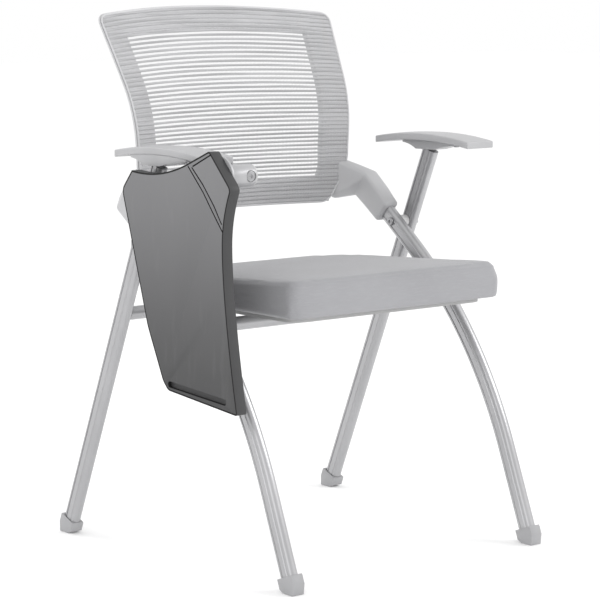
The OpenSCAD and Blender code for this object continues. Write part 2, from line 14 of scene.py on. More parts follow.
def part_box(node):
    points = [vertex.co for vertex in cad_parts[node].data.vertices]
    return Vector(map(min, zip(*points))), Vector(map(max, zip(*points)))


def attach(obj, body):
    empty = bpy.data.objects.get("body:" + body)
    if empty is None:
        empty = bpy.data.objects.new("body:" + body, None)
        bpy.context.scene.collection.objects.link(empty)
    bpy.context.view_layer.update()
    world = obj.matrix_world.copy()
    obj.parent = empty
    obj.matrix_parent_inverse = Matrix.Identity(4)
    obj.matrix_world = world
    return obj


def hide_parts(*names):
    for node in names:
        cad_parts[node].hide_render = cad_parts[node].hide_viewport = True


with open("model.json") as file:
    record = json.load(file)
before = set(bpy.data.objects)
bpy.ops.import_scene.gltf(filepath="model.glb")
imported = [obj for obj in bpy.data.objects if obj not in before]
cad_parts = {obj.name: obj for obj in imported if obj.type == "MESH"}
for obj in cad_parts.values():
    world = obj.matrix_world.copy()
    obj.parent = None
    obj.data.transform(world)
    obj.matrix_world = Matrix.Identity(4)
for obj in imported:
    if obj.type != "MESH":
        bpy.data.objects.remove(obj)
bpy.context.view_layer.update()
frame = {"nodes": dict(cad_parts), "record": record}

bl_info = {
    "name": "Folding Student Chair",
    "version": (1, 0, 0),
    "blender": (4, 5, 0),
    "location": "View3D > Sidebar > Chair",
    "description": "Builds a folding student chair with a mesh back and a writing tablet",
    "category": "Add Mesh",
}

MM = 0.001
SEAT_THICK = 60 * MM  # height of the front of the seat's top above the cushion's lowest point
SEAT_FALL = 26 * MM  # how far the seat's top falls towards the back
BACK_OFFSET = 91 * MM  # how far the back's upright part stands behind the pivot
BACK_FOOT = 0.85  # width of the back's bottom edge, as a share of its full width
BACK_MIDDLE = Vector((0, 697 * MM))
BOARD_INSET = 2.6 * MM  # where the board's face is split along its edge
BOARD_RIM = 1.8 * MM  # width of the dark rim along that edge
FOOT_HOLD = 10 * MM  # how far a foot's sole reaches below the end of its tube

# The sleeve's blocks in millimetres: along the tube, rise off it, shift inwards, width and depth
SLEEVE_BLOCKS = ((0, 0, 1, 32, 42), (34, 1, 1, 34, 45), (70, 0, 1, 34, 48), (94, -4, 18, 28, 48))

# The board's corner lines in millimetres from the swivel, as (y, z)
CORNER_LINES = (((56, 14), (18.5, -23), (-6, -52.6), (-29, -79.4)), ((44, 14.4), (0.3, 33.6)),
                ((46.4, 12.7), (18.5, -12), (-8, -41.6), (-26.4, -67.4)))

# ---- Places read from the frame ----


def middle(node):
    """The middle of a CAD node's box."""
    low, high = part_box(node)
    return (low + high) / 2


CENTRE_X = middle("pivot_bolts").x
PIVOT = middle("pivot_bolts")
SWIVEL = middle("swivel_barrel")
FRONT_X = middle("front_tube_left").x - CENTRE_X
REAR_X = middle("rear_tube_left").x - CENTRE_X
SEAT_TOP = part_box("seat_cushion")[0].z + SEAT_THICK


# ---- Sizes and colours that a user would change ----


def a_length(name, description, millimetres):
    return FloatProperty(name=name, description=description, default=millimetres * MM, unit="LENGTH")


def an_angle(name, description, degrees):
    return FloatProperty(name=name, description=description, default=math.radians(degrees), subtype="ANGLE")


def a_colour(name, description, colour):
    return FloatVectorProperty(name=name, description=description, default=colour, subtype="COLOR", size=3)


class ChairFrameSizes(bpy.types.PropertyGroup):
    """Sizes of the tubular frame."""

    tube_width: a_length("Tube width", "Width of a leg tube across the chair", 18)
    tube_depth: a_length("Tube depth", "Depth of a leg tube in the side plane", 30)
    leg_lean: an_angle("Leg lean", "Lean of the lower front leg", 21.5)
    upper_lean: an_angle("Upper lean", "Lean of the upper front tube", 51.5)
    bend_radius: a_length("Bend radius", "Centre-line radius of the front tube's bend", 770)
    leg_straight: a_length("Leg straight", "Front tube's length from the floor to its bend", 160)
    upper_straight: a_length("Upper straight", "Front tube's length above its bend", 165)
    pivot_up: a_length("Pivot up", "Distance of the pivot above the end of the bend", 57)
    paint: a_colour("Paint", "Colour of the tubes' silver paint", (0.43, 0.43, 0.44))


class ChairBackSizes(bpy.types.PropertyGroup):
    """Sizes of the mesh back."""

    half: a_length("Half width", "Half width of the back at its top corners", 242)
    taper: a_length("Taper", "Narrowing of each side towards the bottom", 22)
    top: a_length("Top", "Height of the top corners", 858)
    bottom: a_length("Bottom", "Height of the bottom edge", 536)
    side_start: a_length("Side start", "Height at which the straight sides start", 600)
    knee: a_length("Knee", "Height at which the back starts to lean", 655)
    knee_radius: a_length("Knee radius", "Radius of the bend at the knee", 210)
    lean: an_angle("Lean", "Lean of the upper part", 27.5)
    arch: a_length("Arch", "Rise of the top edge", 13.5)
    hollow: a_length("Hollow", "Depth of the hollow from side to side", 42)
    thick: a_length("Frame thickness", "Thickness of the back's frame", 13)
    side: a_length("Side band", "Width of the frame beside the window", 50)
    head: a_length("Top band", "Width of the frame above the window", 36)
    foot: a_length("Bottom band", "Width of the frame below the window", 41)
    rib_pitch: a_length("Rib pitch", "Spacing of the mesh's cross ribs", 6.9)
    rib_height: a_length("Rib height", "Height of one cross rib", 3.7)
    frame_colour: a_colour("Frame colour", "Colour of the moulded frame", (0.56, 0.56, 0.57))
    mesh_colour: a_colour("Mesh colour", "Colour of the knitted mesh", (0.43, 0.43, 0.44))


class ChairSeatSizes(bpy.types.PropertyGroup):
    """Sizes of the seat."""

    puff: a_length("Puff", "How far the cushion may swell", 5)
    voxel: a_length("Cloth grain", "Mesh size of the cushion's simulation", 5.5)
    colour: a_colour("Cloth colour", "Colour of the seat cloth", (0.335, 0.335, 0.35))


class ChairArmSizes(bpy.types.PropertyGroup):
    """Sizes of the arm pads."""

    arch: a_length("Arch", "Rise of the pad over its ends", 9.5)
    thick: a_length("Thickness", "Thickness of the pad", 12.5)
    colour: a_colour("Pad colour", "Colour of the arm pads", (0.44, 0.44, 0.45))


class ChairTabletSizes(bpy.types.PropertyGroup):
    """Sizes of the writing tablet."""

    length: a_length("Length", "Length of the board below its swivel", 344)
    width: a_length("Width", "Width of the board at its swivel end", 272)
    neck: a_length("Neck", "Height of the board's crown above the swivel", 39.5)
    pen_width: a_length("Pen groove width", "Width of the pen groove", 10)
    pen_depth: a_length("Pen groove depth", "Depth of the pen groove", 6)
    colour: a_colour("Board colour", "Colour of the writing face", (0.16, 0.16, 0.165))


class ChairStage(bpy.types.PropertyGroup):
    """The camera's place, tilt and lens."""

    azimuth: an_angle("Azimuth", "Turn of the camera to the chair's right", 39.325)
    down: an_angle("Down", "Tilt of the camera below the horizon", 7.761)
    lens: FloatProperty(name="Lens", description="Focal length in millimetres", default=139.37)
    back_off: a_length("Distance", "Distance of the camera from the chair's middle", 3779.6)
    height: a_length("Height", "Height of the camera", 910.9)
    aside: a_length("Aside", "Shift of the camera to its left", 9.4)


# ---- Shader maths ----


class Value:
    """A socket or a number that adds Math nodes when it is used in an expression."""

    def __init__(self, sheet, socket):
        self.sheet, self.socket = sheet, socket

    def _math(self, operation, *others, clamp=False):
        return self.sheet.node("ShaderNodeMath", dict(operation=operation, use_clamp=clamp),
                               *[self, *others]).out()

    def __add__(self, other):
        return self._math("ADD", other)

    def __radd__(self, other):
        return self._math("ADD", other)

    def __sub__(self, other):
        return self._math("SUBTRACT", other)

    def __rsub__(self, other):
        return Value(self.sheet, other)._math("SUBTRACT", self)

    def __mul__(self, other):
        return self._math("MULTIPLY", other)

    def __rmul__(self, other):
        return self._math("MULTIPLY", other)

    def sine(self):
        return self._math("SINE")

    def absolute(self):
        return self._math("ABSOLUTE")

    def clamped(self):
        return self._math("ADD", 0.0, clamp=True)

    def step(self, low, high):
        """0 below low, 1 above high and smooth between them."""
        return self.sheet.node("ShaderNodeMapRange", dict(interpolation_type="SMOOTHSTEP"),
                               Value=self, **{"From Min": low, "From Max": high}).out()


class Handle:
    """One node, whose outputs are read as values."""

    def __init__(self, sheet, node):
        self.sheet, self.node = sheet, node

    def out(self, name=0):
        return Value(self.sheet, self.node.outputs[name])


class Finish:
    """A material under construction."""

    def __init__(self, name, roughness=0.5, metallic=0.0, **constants):
        self.material = bpy.data.materials.new(name)
        self.material.use_nodes = True
        self.tree = self.material.node_tree
        self.shader = self.tree.nodes["Principled BSDF"]
        self.shader.inputs["Roughness"].default_value = roughness
        self.shader.inputs["Metallic"].default_value = metallic
        for socket, value in constants.items():
            self.shader.inputs[socket.replace("_", " ")].default_value = value
        self.place = self.node("ShaderNodeTexCoord").out("Object")

    def node(self, kind, settings=None, *sockets, **named):
        """Adds a node, sets its settings, then gives its sockets their values or links."""
        node = self.tree.nodes.new(kind)
        for key, value in (settings or {}).items():
            if key == "stops":
                ramp = node.color_ramp.elements
                for i, (at, colour) in enumerate(value):
                    stop = ramp[i] if i < 2 else ramp.new(at)
                    stop.position, stop.color = at, (*colour, 1)
            else:
                setattr(node, key, value)
        for socket, value in [*enumerate(sockets), *named.items()]:
            self.feed(node.inputs[socket], value)
        return Handle(self, node)

    def feed(self, socket, value):
        """Links or sets one socket."""
        if isinstance(value, Value):
            value = value.socket
        if isinstance(value, bpy.types.NodeSocket):
            self.tree.links.new(value, socket)
        elif hasattr(value, "__len__") and socket.type == "RGBA":
            socket.default_value = (*value, 1)[:4]
        else:
            socket.default_value = value

    def set(self, name, value):
        self.feed(self.shader.inputs[name], value)

    def axis(self, name):
        return self.node("ShaderNodeSeparateXYZ", None, self.place).out(name)

    def noise(self, scale, detail=2.0, stretch=(1, 1, 1)):
        moved = self.node("ShaderNodeMapping", None, self.place, Scale=stretch).out()
        return self.node("ShaderNodeTexNoise", None, Vector=moved, Scale=scale, Detail=detail).out()

    def mix(self, factor, a, b):
        """A colour between a and b."""
        node = self.tree.nodes.new("ShaderNodeMix")
        node.data_type = "RGBA"
        self.feed(node.inputs["Factor"], factor)
        self.feed(node.inputs[6], a)
        self.feed(node.inputs[7], b)
        return Value(self, node.outputs[2])

    def bump(self, height, distance, strength):
        self.set("Normal", self.node("ShaderNodeBump", None, Strength=strength, Distance=distance,
                                     Height=height).out())


def tinted(colour, factor):
    return tuple(min(1, c * factor) for c in colour)


def paint_finish(name, colour, roughness=0.26, metallic=0.7):
    """Silver powder paint on steel tube: a fine metal flake and a soft orange peel."""
    f = Finish(name, metallic=metallic, Coat_Weight=0.3, Coat_Roughness=0.15)
    flake = f.noise(2600, 2)
    cloud = f.noise(9, 3)
    body = f.mix(cloud.step(0.35, 0.7), tinted(colour, 0.95), tinted(colour, 1.05))
    f.set("Base Color", f.mix(flake.step(0.55, 0.75) * 0.35, body, tinted(colour, 1.3)))
    f.set("Roughness", roughness + 0.08 * flake + 0.06 * cloud)
    f.bump(f.noise(700, 2) * 0.6 + flake * 0.2, 0.00012, 0.5)
    return f.material


def plastic_finish(name, colour, roughness):
    """Moulded plastic with a fine spark-eroded grain and a little handling shine."""
    f = Finish(name, Specular_IOR_Level=0.4)
    cloud = f.noise(14, 3)
    speck = f.noise(1500, 3)
    body = f.mix(cloud.step(0.35, 0.7), tinted(colour, 0.96), tinted(colour, 1.04))
    f.set("Base Color", f.mix(speck.step(0.5, 0.75) * 0.25, body, tinted(colour, 1.12)))
    f.set("Roughness", roughness + 0.12 * speck - 0.08 * cloud)
    f.bump(speck, 0.00012, 0.6)
    return f.material


def rib_finish(name, colour):
    """Twisted yarn of the mesh's cross ribs, each a little lighter or darker than the next."""
    f = Finish(name, roughness=0.85, Sheen_Weight=0.25, Sheen_Roughness=0.5)
    x, z = f.axis("X"), f.axis("Z")
    twist = (x * 2100 + z * 900).sine() * 0.5 + 0.5
    row = f.noise(1, 2, stretch=(4, 4, 190))
    body = f.mix(row.step(0.38, 0.62), tinted(colour, 0.86), tinted(colour, 1.14))
    f.set("Base Color", f.mix(twist * 0.35, body, tinted(colour, 0.8)))
    f.bump(twist, 0.0003, 0.6)
    return f.material


def net_finish(name, colour):
    """The clear net between the ribs: fine threads with open holes."""
    f = Finish(name, roughness=0.8)
    x, z = f.axis("X"), f.axis("Z")
    upright = (x * (math.pi / (2.6 * MM))).sine().absolute().step(0.86, 0.98)
    level = (z * (math.pi / (1.7 * MM))).sine().absolute().step(0.9, 0.99)
    thread = (upright + level * 0.7).clamped()
    f.set("Base Color", f.mix(f.noise(300), tinted(colour, 0.95), tinted(colour, 1.1)))
    f.set("Alpha", thread * 0.30 + 0.02)
    return f.material


def cloth_finish(name, colour):
    """Plain woven seat cloth: a fine over-and-under weave with slubs and a faint sheen."""
    f = Finish(name, Sheen_Weight=0.35, Sheen_Roughness=0.45)
    x, y, z = f.axis("X"), f.axis("Y"), f.axis("Z")
    pitch = math.pi / (0.9 * MM)
    weave = (x * pitch).sine() * ((y + z) * pitch).sine() * 0.5 + 0.5
    slub = f.noise(60, 3, stretch=(1, 8, 8))
    cloud = f.noise(5, 3)
    body = f.mix(cloud.step(0.3, 0.7), tinted(colour, 0.93), tinted(colour, 1.06))
    fine = f.mix(slub.step(0.45, 0.7) * 0.3, body, tinted(colour, 1.2))
    f.set("Base Color", f.mix(weave * 0.3, fine, tinted(colour, 0.72)))
    f.set("Roughness", 0.8 + 0.1 * slub)
    f.bump(weave * 0.7 + slub * 0.3, 0.00035, 0.7)
    return f.material


def board_finish(name, colour):
    """Moulded writing face: fine grain, faint rubbed marks, and painted light that makes the face paler
    towards the top and darker towards the bottom.
    """
    f = Finish(name, Specular_IOR_Level=0.4, Coat_Weight=0.08, Coat_Roughness=0.35)
    speck = f.noise(1700, 3)
    marks = f.noise(26, 5, stretch=(1, 2.2, 0.5)).step(0.56, 0.72)
    low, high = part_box("tablet_board")
    # Painted light and reflection: the face's colour runs from dark at the bottom to pale at the top.
    height = f.axis("Z").step(low.z - 0.02, high.z + 0.02)
    body = f.mix(height, tinted(colour, 0.26), tinted(colour, 1.2))
    # The painted light gradient, with faint real rubbed marks laid over it.
    painted_light_and_wear = f.mix(marks * 0.03, body, tinted(colour, 1.5))
    f.set("Base Color", f.mix(f.noise(7, 3).step(0.3, 0.75) * 0.1, painted_light_and_wear, tinted(colour, 0.7)))
    f.set("Roughness", 0.44 + 0.12 * speck - 0.08 * marks)
    f.bump(speck, 0.0001, 0.5)
    return f.material


def steel_finish(name, colour):
    """Zinc-plated hardware with turning marks."""
    f = Finish(name, metallic=0.9)
    turned = f.noise(900, 3, stretch=(6, 1, 1))
    f.set("Base Color", f.mix(f.noise(60, 3).step(0.35, 0.7), tinted(colour, 0.85), tinted(colour, 1.08)))
    f.set("Roughness", 0.3 + 0.15 * turned)
    f.bump(turned, 0.00008, 0.5)
    return f.material


# ---- Modelling helpers ----


def deselect():
    bpy.ops.object.select_all(action="DESELECT")


def only(piece):
    """Makes piece the one selected, active object."""
    deselect()
    piece.select_set(True)
    bpy.context.view_layer.objects.active = piece
    return piece


def named(name):
    """Names the new primitive."""
    piece = bpy.context.object
    piece.name = piece.data.name = name
    return piece


def settle(piece):
    """Moves a piece's place, turn and size into its mesh."""
    only(piece)
    bpy.ops.object.transform_apply(location=True, rotation=True, scale=True)
    return piece


def edit_all():
    """Enters edit mode with everything selected."""
    bpy.ops.object.mode_set(mode="EDIT")
    bpy.ops.mesh.select_all(action="SELECT")


def leave():
    """Leaves edit mode."""
    bpy.ops.object.mode_set(mode="OBJECT")


def extrude(reach):
    """Extrudes what is selected."""
    bpy.ops.mesh.extrude_region_move(TRANSFORM_OT_translate={"value": reach})


def modify(piece, kind, **settings):
    """Adds one modifier and applies it."""
    only(piece)
    modifier = piece.modifiers.new(kind.title(), kind)
    for key, value in settings.items():
        setattr(modifier, key, value)
    bpy.ops.object.modifier_apply(modifier=modifier.name)
    return piece


def outward(piece):
    """Merges doubled points and turns every face outwards."""
    only(piece)
    edit_all()
    bpy.ops.mesh.remove_doubles(threshold=1e-5)
    bpy.ops.mesh.normals_make_consistent(inside=False)
    leave()
    return piece


def soften(piece, width, segments=3, angle=30):
    """Rounds the sharp edges and shades the rest smoothly."""
    if width:
        modify(piece, "BEVEL", width=width, segments=segments, limit_method="ANGLE",
               angle_limit=math.radians(angle))
    only(piece)
    bpy.ops.object.shade_smooth_by_angle(angle=math.radians(angle + 5))
    return piece


def dress(piece, material, slot, body, *nodes):
    """Gives a finished piece its finish and its body, and hides the CAD nodes that it stands for."""
    piece.data.materials.clear()
    piece.data.materials.append(material)
    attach(piece, body)
    if nodes:
        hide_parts(*nodes)
    return piece


def plate(name, outline, low, high):
    """A flat plate: an outline of (y, z) points, extruded across the chair from low to high."""
    deselect()
    bpy.ops.mesh.primitive_circle_add(vertices=len(outline), radius=1, fill_type="NGON")
    piece = named(name)
    for vertex, (y, z) in zip(piece.data.vertices, outline):
        vertex.co = (low, y, z)
    edit_all()
    extrude((high - low, 0, 0))
    leave()
    return outward(piece)


def added(name, mesh):
    """A new piece of that mesh."""
    piece = bpy.data.objects.new(name, mesh)
    bpy.context.scene.collection.objects.link(piece)
    return piece


def from_bmesh(name, bm):
    """A new piece of that working mesh, which is freed."""
    mesh = bpy.data.meshes.new(name)
    bm.to_mesh(mesh)
    bm.free()
    return added(name, mesh)


def loft(name, rings, closed=False, caps=True):
    """A skin over rings that have the same number of points; closed joins the last ring to the first."""
    count, per = len(rings), len(rings[0])
    mesh = bpy.data.meshes.new(name)
    faces = []
    for i in range(count if closed else count - 1):
        a, b = i * per, ((i + 1) % count) * per
        faces += [(a + j, a + (j + 1) % per, b + (j + 1) % per, b + j) for j in range(per)]
    if caps and not closed:
        faces += [tuple(range(per)), tuple(range((count - 1) * per, count * per))]
    mesh.from_pydata([tuple(p) for ring in rings for p in ring], [], faces)
    return outward(added(name, mesh))


def copy_of(node):
    """A loose copy of a CAD node, named as a piece."""
    only(frame["nodes"][node])
    bpy.ops.object.duplicate()
    piece = named(node.replace("_", " ").title().replace(" ", "_"))
    for key in list(piece.keys()):
        del piece[key]
    piece.parent = None
    return only(piece)


def refine(node, material, slot, bevel):
    """A merged copy of a CAD node with rounded edges and smooth round faces, which stands for the node."""
    piece = copy_of(node)
    edit_all()
    bpy.ops.mesh.remove_doubles(threshold=1e-5)
    bpy.ops.mesh.dissolve_limited(angle_limit=math.radians(1.0))
    leave()
    soften(piece, bevel, 2)
    body = next(b for b, members in frame["record"]["behaviour"]["bodies"].items() if node in members)
    return dress(piece, material, slot, body, node)


def section(width, depth, corner=0.0078, groove=0.0011, steps=6):
    """The tube's section as (across, along the side plane): rounded corners and two fine grooves a side."""
    points = []
    for quarter in range(4):
        sx, sy = (1, 1, -1, -1)[quarter], (1, -1, -1, 1)[quarter]
        for k in range(steps + 1):
            angle = math.pi / 2 * (k / steps if sx * sy < 0 else 1 - k / steps)
            points.append((sx * (width / 2 - corner + corner * math.cos(angle)),
                           sy * (depth / 2 - corner + corner * math.sin(angle))))
        if quarter in (0, 2):
            for at in (1, -1):
                edge = sx * width / 2
                place = at * (depth / 2 - corner - 0.8 * MM)
                for shift, cut in ((1.9, 0), (0.7, groove), (-0.7, groove), (-1.9, 0)):
                    points.append((edge - sx * cut, sy * (place + shift * MM)))
    return points


def ball(centre, radius, turns=10):
    """Points of a ball's surface."""
    points = []
    for i in range(turns // 2 + 1):
        up = math.pi * i / (turns // 2) - math.pi / 2
        for a in (2 * math.pi * k / turns for k in range(turns)):
            across = math.cos(up)
            spot = Vector((across * math.cos(a), across * math.sin(a), math.sin(up)))
            points.append(centre + radius * spot)
    return points


def curve(p, pull, q, steps=14):
    """Points of a curve from p to q, drawn towards pull."""
    p, pull, q = Vector(p), Vector(pull), Vector(q)
    shares = [k / steps for k in range(steps + 1)]
    return [p * (1 - t) ** 2 + pull * 2 * t * (1 - t) + q * t * t for t in shares]


# ---- Finishes, made once ----

FINISHES = {}


def finish(name):
    """The material of that name."""
    if not FINISHES:
        scene = bpy.context.scene
        silver, board = tuple(scene.chair_frame.paint), tuple(scene.chair_tablet.colour)
        FINISHES.update({
            "paint": paint_finish("silver_paint", silver),
            "barrel": paint_finish("barrel_paint", tinted(silver, 1.05), 0.38, 0.35),
            "foot": plastic_finish("foot_plastic", (0.38, 0.38, 0.39), 0.5),
            "back": plastic_finish("back_plastic", tuple(scene.chair_back.frame_colour), 0.5),
            "trim": plastic_finish("edge_trim", (0.58, 0.58, 0.59), 0.42),
            "sleeve": plastic_finish("sleeve_plastic", (0.50, 0.50, 0.51), 0.45),
            "ribs": rib_finish("mesh_ribs", tuple(scene.chair_back.mesh_colour)),
            "net": net_finish("mesh_net", tuple(scene.chair_back.mesh_colour)),
            "cloth": cloth_finish("seat_cloth", tuple(scene.chair_seat.colour)),
            "pan": plastic_finish("pan_plastic", (0.42, 0.42, 0.42), 0.55),
            "arm": plastic_finish("arm_plastic", tuple(scene.chair_arm.colour), 0.42),
            "board": board_finish("board_plastic", board),
            "board_edge": plastic_finish("board_edge", tinted(board, 0.32), 0.5),
            "board_line": plastic_finish("board_line", tinted(board, 0.04), 0.8),
            "steel": steel_finish("zinc_steel", (0.42, 0.42, 0.43)),
            "nylon": plastic_finish("nylon", (0.55, 0.55, 0.55), 0.45),
            "rubber": plastic_finish("rubber", (0.08, 0.08, 0.08), 0.7),
        })
    return FINISHES[name]


# ---- Frame tubes ----


def up_line(point, lean, distance):
    return (point[0] + distance * math.sin(lean), point[1] + distance * math.cos(lean))


def tube_end(name, x, start, lean, fill):
    """The section across a leg tube's lower end, in edit mode with everything selected."""
    sizes = bpy.context.scene.chair_frame
    shape = section(sizes.tube_width, sizes.tube_depth)
    deselect()
    bpy.ops.mesh.primitive_circle_add(vertices=len(shape), radius=1, fill_type=fill)
    tube = named(name)
    for vertex, (across, along) in zip(tube.data.vertices, shape):
        vertex.co = (x + across, start[0] + along * math.cos(lean), start[1] - along * math.sin(lean))
    edit_all()
    return tube


def finish_tube(tube, body, node):
    """Smooths a leg tube and paints it."""
    outward(tube)
    soften(tube, 0, angle=35)
    dress(tube, finish("paint"), "tube_metal", body, node)


class CHAIR_OT_front_tubes(bpy.types.Operator):
    """Adds the two bent tubes that are front leg and back support in one"""

    bl_idname = "chair.front_tubes"
    bl_label = "Front Tubes"

    def execute(self, context):
        sizes = context.scene.chair_frame
        bend_top = up_line((PIVOT.y, PIVOT.z), sizes.upper_lean, -sizes.pivot_up)
        low, high = sizes.leg_lean, sizes.upper_lean
        radius = sizes.bend_radius
        bend_low = (bend_top[0] - radius * (math.cos(low) - math.cos(high)),
                    bend_top[1] - radius * (math.sin(high) - math.sin(low)))
        middle_of_bend = (bend_low[0] + radius * math.cos(low), bend_low[1] - radius * math.sin(low))
        start = up_line(bend_low, low, -(sizes.leg_straight - FOOT_HOLD))
        for side, word in ((1, "left"), (-1, "right")):
            x = CENTRE_X + side * FRONT_X
            tube = tube_end("Front_Tube_" + word.title(), x, start, low, "NOTHING")
            extrude((0, bend_low[0] - start[0], bend_low[1] - start[1]))
            bpy.ops.mesh.spin(steps=40, angle=high - low, center=(x, *middle_of_bend), axis=(1, 0, 0))
            extrude((0, *up_line((0, 0), high, sizes.upper_straight)))
            bpy.ops.mesh.edge_face_add()
            leave()
            finish_tube(tube, "front_frame", "front_tube_" + word)
        return {"FINISHED"}


class CHAIR_OT_rear_tubes(bpy.types.Operator):
    """Adds the two straight tubes that run from the rear feet up to the arms"""

    bl_idname = "chair.rear_tubes"
    bl_label = "Rear Tubes"

    def execute(self, context):
        sizes = context.scene.chair_frame
        low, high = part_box("rear_tube_left")
        lean = math.atan2(PIVOT.y - middle("rear_foot_left").y, PIVOT.z - middle("rear_foot_left").z)
        foot_y = PIVOT.y - PIVOT.z * math.tan(lean)
        start = up_line((foot_y, 0), lean, FOOT_HOLD)
        length = (high.z - low.z - abs(sizes.tube_depth * math.sin(lean))) / math.cos(lean)
        for side, word in ((1, "left"), (-1, "right")):
            tube = tube_end("Rear_Tube_" + word.title(), CENTRE_X + side * REAR_X, start, lean, "NGON")
            for _ in range(6):
                extrude((0, *up_line((0, 0), lean, length / 6)))
            leave()
            bm = bmesh.new()
            bm.from_mesh(tube.data)
            inner = [f for f in bm.faces if len(f.verts) > 4 and 0.02 < f.calc_center_median().z
                     < start[1] + length * math.cos(lean) - 0.01]
            bmesh.ops.delete(bm, geom=inner, context="FACES_ONLY")
            bm.to_mesh(tube.data)
            bm.free()
            finish_tube(tube, "rear_frame", "rear_tube_" + word)
        return {"FINISHED"}


# ---- Back ----


def back_point(x, z, depth):
    """A point of the back's sheet, bent by its lean, its hollow and its arch."""
    b = bpy.context.scene.chair_back
    up = max(0.0, z - b.knee)
    turn = b.knee_radius * math.sin(b.lean)
    if up < turn:
        lean = b.knee_radius - math.sqrt(b.knee_radius ** 2 - up * up)
    else:
        lean = b.knee_radius * (1 - math.cos(b.lean)) + (up - turn) * math.tan(b.lean)
    share = min(1.0, max(0.0, (z - b.knee + 0.03) / (b.top - b.knee + 0.03)))
    half = b.half - b.taper + b.taper * share ** 1.25
    rise = max(0.0, (z - b.knee) / (b.top - b.knee))
    bow = 1 - (x / b.half) ** 2
    return Vector((CENTRE_X + x * half / b.half, PIVOT.y + BACK_OFFSET + lean + b.hollow * bow + depth,
                   z + b.arch * rise * bow))


def rounded_outline(corners, radii, steps=8, between=14):
    """Outline points with rounded corners, the same number whatever the corners are."""
    points = []
    for i, corner in enumerate(corners):
        before, after = Vector(corners[i - 1]), Vector(corners[(i + 1) % len(corners)])
        corner = Vector(corner)
        start = corner + (before - corner).normalized() * radii[i]
        end = corner + (after - corner).normalized() * radii[i]
        points += curve(start, corner, end, steps)
        next_start = after + (corner - after).normalized() * radii[(i + 1) % len(corners)]
        points += [end.lerp(next_start, k / between) for k in range(1, between)]
    return points


def back_outline():
    b = bpy.context.scene.chair_back
    low = b.half * BACK_FOOT
    return rounded_outline(
        [(b.half, b.side_start), (b.half, b.top), (-b.half, b.top), (-b.half, b.side_start),
         (-low, b.bottom), (low, b.bottom)], [v * MM for v in (24, 16, 16, 24, 16, 16)])


def window_outline():
    b = bpy.context.scene.chair_back
    half, low = b.half - b.side, b.bottom + b.foot
    return rounded_outline(
        [(half, low + 0.02), (half, b.top - b.head), (-half, b.top - b.head), (-half, low + 0.02),
         (-half + 0.006, low), (half - 0.006, low)], [v * MM for v in (6, 5, 5, 6, 3, 3)])


def grown(outline, distance):
    """The outline moved outwards by a distance."""
    count = len(outline)
    moved = []
    for i, p in enumerate(outline):
        along = outline[(i + 1) % count] - outline[i - 1]
        normal = Vector((along.y, -along.x)).normalized()
        if normal.dot(p - BACK_MIDDLE) < 0:
            normal.negate()
        moved.append(p + normal * distance)
    return moved


def bead(name, outline, depth, radius, sides=8):
    """A thin round strip that follows an outline on the back's sheet."""
    rings = []
    out = grown(outline, radius)
    for p, q in zip(outline, out):
        rings.append([back_point(*(p + (q - p) * math.cos(a)), depth + radius * math.sin(a))
                      for a in (2 * math.pi * k / sides for k in range(sides))])
    piece = loft(name, rings, closed=True)
    return soften(piece, 0, angle=80)


class CHAIR_OT_back_frame(bpy.types.Operator):
    """Adds the moulded frame behind the mesh, with the sleeves that hold the front tubes"""

    bl_idname = "chair.back_frame"
    bl_label = "Back Frame"

    def execute(self, context):
        b = context.scene.chair_back
        outer, inner = back_outline(), window_outline()
        across = [(0.035, 0.0), (0.3, 0.0), (0.65, 0.0), (0.93, 0.0), (0.98, 0.12), (1.0, 0.35), (1.0, 0.75),
                  (0.95, 1.0), (0.65, 1.0), (0.3, 1.0), (0.05, 1.0), (0.0, 0.85), (0.0, 0.5), (0.01, 0.15)]
        rings = [[back_point(*p.lerp(q, share), b.thick * deep) for share, deep in across]
                 for p, q in zip(outer, inner)]
        ring = loft("Back_Frame", rings, closed=True)
        soften(ring, 0, angle=50)
        dress(ring, finish("back"), "back_plastic", "front_frame", "back_frame")
        for side, word in ((1, "Left"), (-1, "Right")):
            self.sleeve(context, side, word)
        return {"FINISHED"}

    def sleeve(self, context, side, word):
        """One plastic arm that sweeps from the frame's lower corner down over the tube."""
        lean = context.scene.chair_frame.upper_lean
        foot = up_line((PIVOT.y, PIVOT.z), lean, 22 * MM)
        groups = []
        for along, rise, shift, wide, deep in SLEEVE_BLOCKS:
            centre = up_line(foot, lean, (along + 7) * MM)
            centre = (centre[0] - rise * MM * math.cos(lean), centre[1] + rise * MM * math.sin(lean))
            points = []
            for i, j, k in itertools.product((-1, 1), repeat=3):
                v, w = j * (deep / 2 - 6) * MM, k * MM
                middle_of_ball = Vector((CENTRE_X + side * (FRONT_X - shift * MM) + i * (wide / 2 - 6) * MM,
                                         centre[0] + v * math.cos(lean) + w * math.sin(lean),
                                         centre[1] - v * math.sin(lean) + w * math.cos(lean)))
                points += ball(middle_of_ball, 6 * MM)
            groups.append(points)
        b = context.scene.chair_back
        inset = b.half - b.taper - 11 * MM
        groups.append([p for z in (b.side_start + 1 * MM, b.bottom + 15 * MM) for p in
                       ball(Vector((CENTRE_X + side * inset, PIVOT.y + BACK_OFFSET + 17 * MM, z)), 12 * MM)])
        pieces = []
        for near, far in [*zip(groups, groups[1:]), (groups[2], groups[4])]:
            bm = bmesh.new()
            for point in near + far:
                bm.verts.new(point)
            hull = bmesh.ops.convex_hull(bm, input=bm.verts)
            bmesh.ops.delete(bm, geom=hull["geom_interior"], context="VERTS")
            pieces.append(outward(from_bmesh("Sleeve_" + word, bm)))
        deselect()
        for piece in pieces:
            piece.select_set(True)
        bpy.context.view_layer.objects.active = pieces[0]
        bpy.ops.object.join()
        piece = modify(pieces[0], "REMESH", mode="VOXEL", voxel_size=1.5 * MM)
        modify(piece, "SMOOTH", factor=0.5, iterations=5)
        soften(piece, 0, angle=60)
        dress(piece, finish("sleeve"), "back_plastic", "front_frame")


